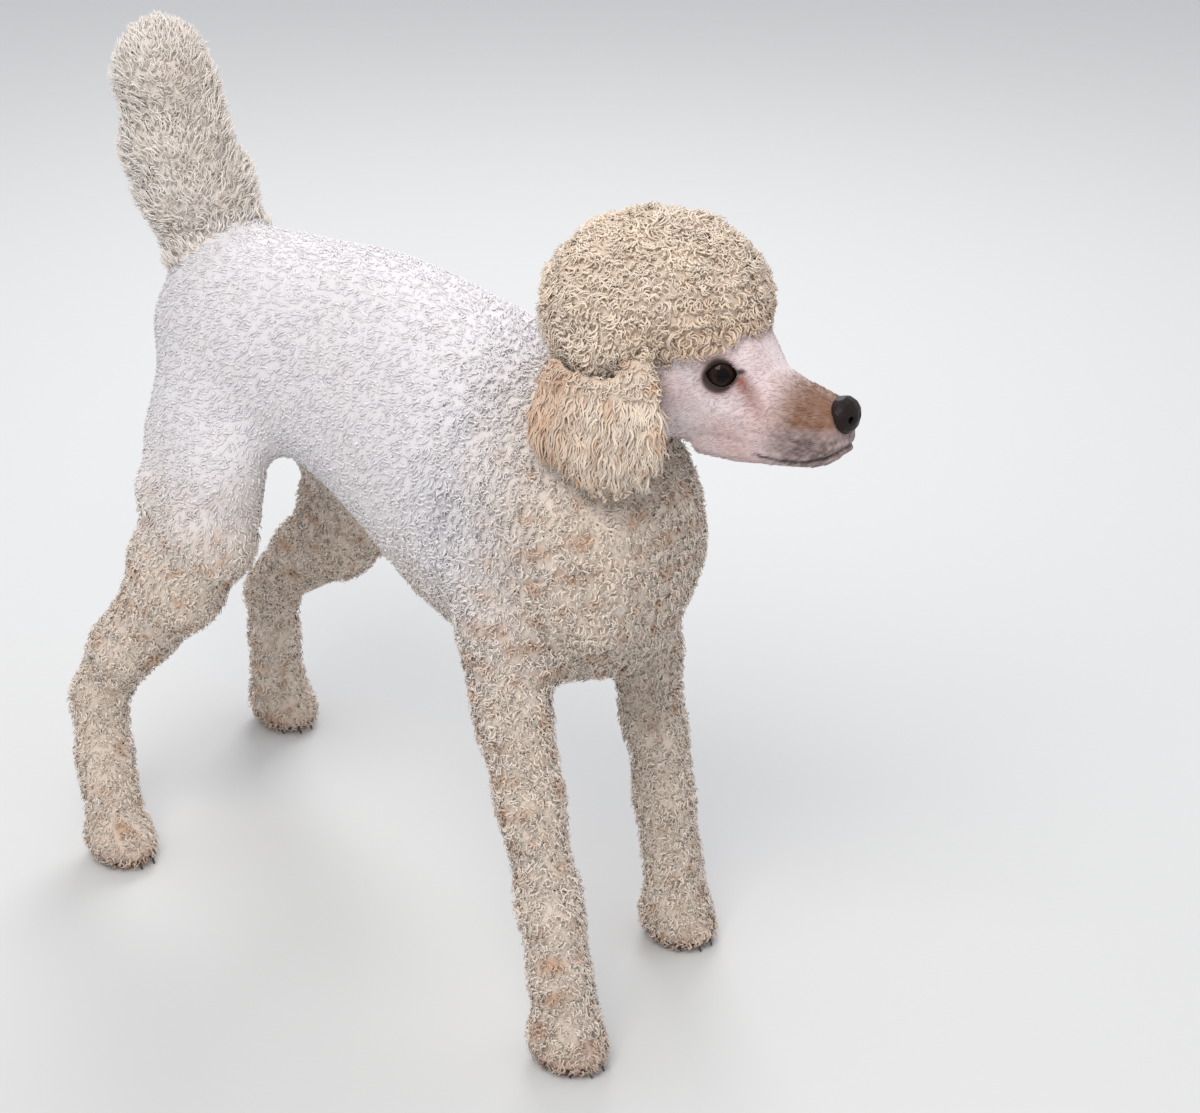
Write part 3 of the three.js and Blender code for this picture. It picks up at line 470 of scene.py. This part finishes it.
def tufts(
    label, roots, out, lie, seed, tips, depths, unroll,
    height, coil, turns, lean, thick, steps, gather, hold=0.55,
):
    rng = np.random.default_rng(seed)
    count = len(roots)
    sizes = (height, coil, turns, lean, thick)
    height, coil, turns, lean, thick = (np.broadcast_to(v, (count,))[:, None] for v in sizes)
    out = out / np.linalg.norm(out, axis=1, keepdims=True)
    lie = lie - out * np.sum(lie * out, axis=1, keepdims=True)
    lie /= np.linalg.norm(lie, axis=1, keepdims=True) + 1e-9
    across = np.cross(out, lie)
    lock = np.floor(roots / gather + rng.random(3)).astype(np.int64)
    _, member = np.unique(lock, axis=0, return_inverse=True)
    member = member.ravel()
    size = np.bincount(member)
    middle = np.column_stack([np.bincount(member, roots[:, i]) / size for i in range(3)])[member]
    inward = middle - roots
    inward -= out * np.sum(inward * out, axis=1, keepdims=True)

    def per_tuft(low, high):
        return rng.uniform(low, high, count)[:, None]

    def per_lock(low, high):
        return rng.uniform(low, high, len(size))[member][:, None]

    share = np.linspace(0, 1, steps + 1)[None, :]
    turn = per_lock(0, FULL_TURN) + per_tuft(-0.5, 0.5)
    hand = np.where(rng.random(len(size)) < 0.5, 1, -1)[member][:, None]
    angle = turn + hand * share * FULL_TURN * turns * per_lock(0.75, 1.25) * per_tuft(0.9, 1.1)
    radius = coil * per_lock(0.75, 1.25) * per_tuft(0.8, 1.2) * np.minimum(1, share * 2.5 + 0.2)
    rise = height * per_lock(0.85, 1.12) * per_tuft(0.85, 1.1) * share**0.85
    bend = lean * per_lock(0.7, 1.3) * per_tuft(0.85, 1.15) * share**1.3
    swing = (rng.normal(0, 0.25, len(size))[member] + rng.normal(0, 0.08, count))[:, None] * lean * share
    line = (
        roots[:, None, :]
        + out[:, None, :] * rise[..., None]
        + lie[:, None, :] * (radius * np.cos(angle) - radius[:, :1] * np.cos(turn) + bend)[..., None]
        + across[:, None, :] * (radius * np.sin(angle) - radius[:, :1] * np.sin(turn) + swing)[..., None]
        + inward[:, None, :] * (hold * share**1.4)[..., None]
    )
    ahead = np.gradient(line, axis=1)
    ahead /= np.linalg.norm(ahead, axis=2, keepdims=True) + 1e-12
    wide_way = np.cross(ahead, np.broadcast_to(out[:, None, :], ahead.shape) + 0.01)
    wide_way /= np.linalg.norm(wide_way, axis=2, keepdims=True) + 1e-12
    deep_way = np.cross(wide_way, ahead)
    waist = np.where(share < 0.25, 0.75 + share, 1.0)
    girth = thick * per_tuft(0.75, 1.3) * waist * np.clip(1.02 - share**2.4, 0.14, 1)
    ring = np.arange(TUFT_SIDES) / TUFT_SIDES * FULL_TURN
    tube = (
        line[:, :, None, :]
        + wide_way[:, :, None, :] * (girth[..., None] * TUFT_FLATNESS * np.cos(ring))[..., None]
        + deep_way[:, :, None, :] * (girth[..., None] * np.sin(ring))[..., None]
    )
    points = tube.reshape(-1, 3)
    points[:, 2] = np.maximum(points[:, 2], OFF_FLOOR)
    walls = []
    for k in range(0, steps * TUFT_SIDES, TUFT_SIDES):
        for j in range(TUFT_SIDES):
            after = (j + 1) % TUFT_SIDES
            walls.append([k + after, k + TUFT_SIDES + after, k + TUFT_SIDES + j, k + j])
    firsts = np.arange(count)[:, None] * (steps + 1) * TUFT_SIDES
    quads = (np.array(walls)[None] + firsts[..., None]).reshape(-1, 4)
    caps = steps * TUFT_SIDES + np.arange(TUFT_SIDES)[None] + firsts
    patch = np.empty((count, steps + 1, TUFT_SIDES, 2))
    patch[..., 0] = unroll[:, 0][:, None, None] + (share[..., None] - 0.5) * TUFT_PATCH
    patch[..., 1] = unroll[:, 1][:, None, None] + (ring / FULL_TURN - 0.5) * TUFT_PATCH
    thing = sewn(label, points, quads, caps, patch.reshape(-1, 2))
    tone = (rng.normal(1, 0.025, count) * rng.normal(1, 0.035, len(size))[member])[:, None, None, None]
    up = (share**0.8)[..., None, None]
    blend = (depths[:, None, None, :] * (1 - up) + tips[:, None, None, :] * up) * tone
    paint(thing, (blend * np.ones((1, 1, TUFT_SIDES, 1))).reshape(-1, 3))
    return thing


curl_material, _, _ = coat_material("curly coat", 0.7)


def coat_on(
    label, parts, spacing, lie, form, colour_of, axis, seed,
    slot="curly_coat", only=None, warm=0.15, dim=0.95,
):
    chosen = np.isin(hide_part, parts)
    roots, out = scattered(hide_points, hide_triangles[chosen], spacing, seed)
    if only is not None:
        kept = only(roots)
        roots, out = roots[kept], out[kept]
    way = lie(roots) if callable(lie) else np.tile(np.array(lie, dtype=float), (len(roots), 1))
    way = way + np.random.default_rng(seed).normal(0, 0.3, way.shape)
    tips = colour_of(roots)
    # Painted shade: each tuft's root colour is tinted apricot and darkened by dim, so the depth of the coat
    # is painted darker than the tips.
    depths = tinted(tips, APRICOT, warm) * dim
    sizes = form(roots) if callable(form) else form
    coat = tufts(label, roots, out, way, seed, tips, depths, unrolled(roots, axis), **sizes)
    coat.data.materials.append(curl_material)
    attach(coat, "root")


# Body coat: dense hair, in tight curls on the legs, the neck and the breast. It shortens and straightens
# step by step into the plush clip of the back, the flanks and the tops of the thighs, where it lies flat
# towards the tail.
CURL = dict(height=0.0058, coil=0.0020, turns=1.3, lean=0.0034, thick=0.00078)
PLUSH = dict(height=0.0017, coil=0.0007, turns=0.5, lean=0.0046, thick=0.00080)
CURL_LIE = np.array([-0.3, 0, -1.0])
PLUSH_LIE = np.array([-1.0, 0, -0.5])
LOCK_WIDTH = 0.0080
FORE_LEG_SPACING, HIND_LEG_SPACING = 0.0038, 0.0043
NECK_SPACING, BREAST_SPACING, SIDE_SPACING = 0.0040, 0.0042, 0.0044
SHOULDER_X = 0.10
SPINE_Y = 0.011


def curliness(points):
    wander = 0.03 * cloudy(points, 0.03, 13)
    breast = soft(points[:, 0] + wander, 0.02, 0.20)
    low = soft(-points[:, 2] + wander, -0.42, -0.25)
    return np.clip(breast + low, 0, 1)


def body_form(points):
    curly = curliness(points)
    form = {size: PLUSH[size] + (CURL[size] - PLUSH[size]) * curly for size in CURL}
    return dict(form, steps=4, gather=LOCK_WIDTH)


def body_lie(points):
    curly = curliness(points)[:, None]
    return PLUSH_LIE * (1 - curly) + CURL_LIE * curly


def body_coat(label, parts, spacing, seed, axis=2, **others):
    coat_on(label, parts, spacing, body_lie, body_form, body_colour, axis, seed, **others)


for i, leg in enumerate(LEGS):
    spacing = FORE_LEG_SPACING if leg.endswith("fore") else HIND_LEG_SPACING
    body_coat(f"curls_{leg}_leg", [f"{leg}_leg", f"{leg}_paw"], spacing, seed=20 + i)
body_coat("curls_neck", ["neck"], NECK_SPACING, seed=31)
body_coat("curls_breast", ["torso"], BREAST_SPACING, seed=32, only=lambda p: p[:, 0] > SHOULDER_X)
for side, sign, seed in (("right", -1, 40), ("left", 1, 42)):
    body_coat(
        f"plush_{side}_side", ["torso"], SIDE_SPACING, seed=seed, axis=0, slot="short_coat", dim=0.98,
        only=lambda p: (p[:, 0] <= SHOULDER_X) & ((p[:, 1] - SPINE_Y) * sign > 0),
    )

# Topknot: a round puff of longer, pale gold curls that stand straight up from the skull and fall over each
# other. They are scissored into one round shape, and kept clear of the eyes.
TOPKNOT_CURL = dict(height=0.0076, coil=0.0022, turns=1.1, lean=0.0050, thick=0.00088, steps=5, gather=0.0110)
TOPKNOT_SPACING = 0.0036
TOPKNOT_OFF_EYE = 27


def clear_of_eyes(points):
    return eye_distance(moved(points, into_head)) > TOPKNOT_OFF_EYE


coat_on(
    "topknot_curls", ["topknot"], TOPKNOT_SPACING, (-0.3, 0, -0.6), TOPKNOT_CURL, topknot_colour,
    axis=2, seed=51, only=clear_of_eyes,
)

# Tail: a fluffy, whiter brush of hair, finer and straighter than the rest. It stands out all round the tail
# and leans up to its tip.
BRUSH = dict(height=0.0095, coil=0.0015, turns=0.8, lean=0.0075, thick=0.00072, steps=4, gather=0.0080)
BRUSH_SPACING = 0.0033
coat_on("tail_brush", ["tail"], BRUSH_SPACING, (-0.2, 0, 1), BRUSH, tail_colour, axis=2, seed=61, warm=0.05)

# Ear hair: short curls over the top of each leather, and wavy locks that hang and overlap down to a soft
# fringe. The lowest locks are shorter, so that the fringe ends just below the leather.
EAR_CURL = dict(height=0.0048, coil=0.0019, turns=1.1, lean=0.005, thick=0.00075, steps=5, gather=0.008)
EAR_LOCK = dict(height=0.0026, coil=0.0011, turns=1.4, thick=0.00095, steps=7, gather=0.0090)
EAR_LOCK_LEAN = 0.016
EAR_SPACING = 0.0033
EAR_TOP = -8
for side, (_, ear_points, ear_triangles) in ears.items():
    roots, out = scattered(ear_points, ear_triangles, EAR_SPACING, 71)
    room = np.clip((roots[:, 2] - ear_points[:, 2].min()) * 0.55, 0.002, 1)
    way = np.array([0.0, 0.0, -1.0]) + np.random.default_rng(72).normal(0, 0.12, (len(roots), 3))
    low = moved(roots, into_head)[:, 2] < EAR_TOP
    lock = dict(EAR_LOCK, lean=np.minimum(EAR_LOCK_LEAN, room[low]))
    spread = unrolled(roots, 2)
    for name, kept, form in (("curls", ~low, EAR_CURL), ("locks", low, lock)):
        tips = ear_colour(roots[kept])
        # Painted shade: the roots of the ear hair are tinted apricot and darkened to 0.9.
        depths = tinted(tips, APRICOT, 0.2) * 0.9
        hair = tufts(
            f"ear_{name}_{side}", roots[kept], out[kept], way[kept], 73, tips, depths, spread[kept], **form
        )
        hair.data.materials.append(curl_material)
        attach(hair, "root")

# Face hair: clipped to a fine nap that lies flat, back from the nose, and shows as single hairs at the
# edges. It stops short of the eyes, of the nose leather, and of the topknot's hairline.
FACE_NAP = dict(height=0.0007, coil=0.0002, turns=0.3, lean=0.0034, thick=0.00030, steps=2)
FACE_NAP.update(gather=0.005, hold=0.2)
NAP_SPACING = 0.0026
NAP_OFF_EYE = 17.5
NAP_BACK, NAP_FRONT = -52, 88
roots, out = scattered(face_points, face_triangles, NAP_SPACING, 81)
local = moved(roots, into_head)
kept = (eye_distance(local) > NAP_OFF_EYE) & (local[:, 0] < NAP_FRONT) & (local[:, 0] > NAP_BACK)
roots, out = roots[kept], out[kept]
backward = np.tile(np.array(head_turn @ Vector((-1, 0, -0.25)))[:3], (len(roots), 1))
nap_colour = face_colour(roots)
# Painted shade: the nap's roots take the face colour, and its tips are painted 8 % lighter.
face_hair = tufts(
    "face_nap", roots, out, backward, 82, nap_colour * 1.08, nap_colour, unrolled(roots, 0), **FACE_NAP
)
face_hair.data.materials.append(curl_material)
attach(face_hair, "root")

# Eyes: wet, very dark brown balls under the brows, each with its iris and pupil painted on. The sockets of
# the hide hold them, and a dark, hairless rim of lid lies on the ball round an almond-shaped opening.
EYE_BROWN = np.array([0.010, 0.006, 0.005])
IRIS_BROWN = np.array([0.022, 0.010, 0.006])
PUPIL_BLACK = np.array([0.002, 0.002, 0.002])
LOOK_FORWARD, LOOK_ASIDE, LOOK_UP = 0.66, 0.74, 0.1
LID_HALF_WIDTH = 0.0143 * HEAD_SCALE
LID_HALF_HEIGHT = 0.0108 * HEAD_SCALE
LID_TILT = 0.30
LID_RIM = 0.13
LID_OFF_BALL = 1.03
RIM_THICKNESS = 0.013
eye_material, eye_tree, wet = dull_finish("wet dark eye", 0.10)
wet.inputs["Specular IOR Level"].default_value = 0.10
wet.inputs["Coat Weight"].default_value = 0.06
wet.inputs["Coat Roughness"].default_value = 0.02
show_paint(eye_tree, wet)
rim_material, _, rim_skin = dull_finish("dark lid rim", 0.4)
rim_skin.inputs["Base Color"].default_value = (0.030, 0.018, 0.016, 1)
for side, sign in (("right", -1), ("left", 1)):
    look = head_turn.to_3x3() @ Vector((LOOK_FORWARD, LOOK_ASIDE * sign, LOOK_UP)).normalized()
    outer = (head_turn.to_3x3() @ Vector((0, 0, 1))).cross(look).normalized()
    upper = look.cross(outer)
    centre = np.array(eye_places[side])
    bpy.ops.mesh.primitive_uv_sphere_add(
        segments=40, ring_count=24, radius=eye_radius, location=eye_places[side]
    )
    eye = bpy.context.object
    eye.name = f"eyeball_{side}"
    bpy.ops.object.transform_apply(location=True)
    ball = numbers_of(eye, "co")
    reshape(eye, ball)
    facing = (ball - centre) @ np.array(look) / eye_radius
    in_iris = soft(facing, 0.72, 0.78) * (1 - soft(facing, 0.90, 0.94))
    brown = tinted(EYE_BROWN, IRIS_BROWN, in_iris)
    paint(eye, tinted(brown, PUPIL_BLACK, soft(facing, 0.90, 0.93)))
    eye.data.materials.append(eye_material)
    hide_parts(f"eye_{side}")
    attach(eye, "root")
    eye.select_set(False)
    bpy.ops.mesh.primitive_torus_add(
        major_segments=40, minor_segments=10, major_radius=1.0, minor_radius=LID_RIM
    )
    rim = bpy.context.object
    rim.name = f"lid_rim_{side}"
    circle = numbers_of(rim, "co")
    turn = np.arctan2(circle[:, 1], circle[:, 0])
    swell = np.hypot(circle[:, 0], circle[:, 1]) - 1
    wide = LID_HALF_WIDTH * np.cos(turn) * (1 + swell)
    almond = np.sign(np.sin(turn)) * np.abs(np.sin(turn)) ** 1.2
    tall = LID_HALF_HEIGHT * almond * (1 + swell * 1.3)
    tilt = LID_TILT * sign
    wide, tall = wide * math.cos(tilt) - tall * math.sin(tilt), wide * math.sin(tilt) + tall * math.cos(tilt)
    on_ball = (eye_radius * LID_OFF_BALL) ** 2 - wide**2 - tall**2
    reach = np.sqrt(np.maximum(on_ball, (0.3 * eye_radius) ** 2)) + circle[:, 2] * RIM_THICKNESS
    placed = centre + wide[:, None] * np.array(outer) + tall[:, None] * np.array(upper)
    reshape(rim, placed + reach[:, None] * np.array(look))
    rim.data.materials.append(rim_material)
    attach(rim, "root")
    rim.select_set(False)

# Nose leather: a moist, hairless, dark brown pad with a pebbled grain and a nostril on each side. It is
# cast from the CAD nose and sits on the end of the muzzle.
NOSE_GRAIN = 0.0009
nose = melted(["nose"], NOSE_GRAIN, 7, "nose_leather")
reshape(nose, numbers_of(nose, "co"))
nose_material, nose_tree, nose_shader = dull_finish("moist nose leather", 0.42)
nose_shader.inputs["Base Color"].default_value = (0.014, 0.008, 0.007, 1)
nose_shader.inputs["Specular IOR Level"].default_value = 0.18
grain_place = nose_tree.nodes.new("ShaderNodeTexCoord")
grain = nose_tree.nodes.new("ShaderNodeTexVoronoi")
grain.inputs["Scale"].default_value = 620
pebbles = nose_tree.nodes.new("ShaderNodeBump")
pebbles.inputs["Strength"].default_value = 0.45
pebbles.inputs["Distance"].default_value = 0.0005
pebbles.invert = True
nose_tree.links.new(grain_place.outputs["Object"], grain.inputs["Vector"])
nose_tree.links.new(grain.outputs["Distance"], pebbles.inputs["Height"])
nose_tree.links.new(pebbles.outputs["Normal"], nose_shader.inputs["Normal"])
nose.data.materials.append(nose_material)
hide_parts("nose")
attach(nose, "root")

# Claws: four blunt, curved, dark horn claws on each paw, half hidden by the curls of the toes. Each is a
# cone bent down to its tip, rooted in the end of a toe.
CLAW_LENGTH = 0.011
CLAW_ROOT_RADIUS, CLAW_TIP_RADIUS = 0.0029, 0.0010
CLAW_ROOT_HEIGHT = 0.0105
CLAW_DROP = 0.0085
CLAW_REACH = 0.86
PAW_TO_TOES = 0.056
TOE_PLACES = [(0.026, -0.019), (0.039, -0.007), (0.039, 0.007), (0.026, 0.019)]
claws = []
for leg in LEGS:
    paw_low, paw_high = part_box(f"{leg}_paw")
    toe_tip = paw_high[0]
    middle_y = (paw_low[1] + paw_high[1]) / 2
    for ahead, aside in TOE_PLACES:
        bpy.ops.mesh.primitive_cone_add(
            vertices=10, radius1=CLAW_ROOT_RADIUS, radius2=CLAW_TIP_RADIUS, depth=CLAW_LENGTH
        )
        claw = bpy.context.object
        bpy.ops.object.mode_set(mode="EDIT")
        bpy.ops.mesh.subdivide(number_cuts=3)
        bpy.ops.object.mode_set(mode="OBJECT")
        cone = numbers_of(claw, "co")
        share = cone[:, 2] / CLAW_LENGTH + 0.5
        placed = np.column_stack([
            toe_tip - PAW_TO_TOES + ahead + share * CLAW_LENGTH * CLAW_REACH,
            middle_y + aside + cone[:, 1],
            CLAW_ROOT_HEIGHT + cone[:, 0] - share**1.6 * CLAW_DROP,
        ])
        placed[:, 2] = np.maximum(placed[:, 2], OFF_FLOOR)
        reshape(claw, placed)
        claw.select_set(False)
        claws.append(claw)
for claw in claws:
    claw.select_set(True)
bpy.context.view_layer.objects.active = claws[0]
bpy.ops.object.join()
claws = bpy.context.object
claws.name = "claws"
bpy.ops.object.transform_apply(location=True, rotation=True, scale=True)
claw_material, _, horn = dull_finish("dark horn claw", 0.4)
horn.inputs["Base Color"].default_value = (0.045, 0.032, 0.026, 1)
claws.data.materials.append(claw_material)
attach(claws, "root")
claws.select_set(False)

# Studio: a pale floor just below the paws, large soft lights in front and behind, and pale air all round.
# The camera stands where the photo was taken.
FLOOR_DROP = 0.0005
HEAD_IN_DOG = Vector((0.296, 0.028, 0.597))
CAMERA_IN_DOG = Vector((1.7036, -1.5689, 1.4109))
CAMERA_YAW, CAMERA_PITCH = 134.14, 24.70
bpy.ops.mesh.primitive_plane_add(size=14, location=(0, 0, -FLOOR_DROP))
floor = bpy.context.object
floor.name = "studio_floor"
floor_material, _, floor_shader = dull_finish("pale floor", 0.85)
floor_shader.inputs["Base Color"].default_value = (0.60, 0.60, 0.59, 1)
floor.data.materials.append(floor_material)

air = bpy.data.worlds.new("studio air")
bpy.context.scene.world = air
air.use_nodes = True
air.node_tree.nodes["Background"].inputs["Color"].default_value = (0.93, 0.95, 1.0, 1)
air.node_tree.nodes["Background"].inputs["Strength"].default_value = 0.85


def soft_light(label, place, target, size, power, colour):
    lamp = bpy.data.lights.new(label, "AREA")
    lamp.shape = "SQUARE"
    lamp.size = size
    lamp.energy = power
    lamp.color = colour
    thing = bpy.data.objects.new(label, lamp)
    thing.location = place
    thing.rotation_euler = (Vector(target) - Vector(place)).to_track_quat("-Z", "Y").to_euler()
    bpy.context.collection.objects.link(thing)


soft_light("high_key", (0.9, -1.5, 2.5), (0, 0, 0.4), 1.3, 42, (1.0, 0.97, 0.93))
soft_light("back_rim", (-1.3, 1.5, 2.2), (0, 0, 0.45), 1.2, 34, (0.98, 0.98, 1.0))

camera = bpy.data.objects.new("camera", bpy.data.cameras.new("camera"))
camera.data.sensor_width = 36
camera.data.lens = 90
camera.location = head_frame.translation - HEAD_IN_DOG + CAMERA_IN_DOG
yaw, pitch = math.radians(CAMERA_YAW), math.radians(CAMERA_PITCH)
sight = Vector((math.cos(yaw) * math.cos(pitch), math.sin(yaw) * math.cos(pitch), -math.sin(pitch)))
camera.rotation_euler = sight.to_track_quat("-Z", "Y").to_euler()
bpy.context.collection.objects.link(camera)
bpy.context.scene.camera = camera
bpy.context.scene.view_settings.view_transform = "Standard"
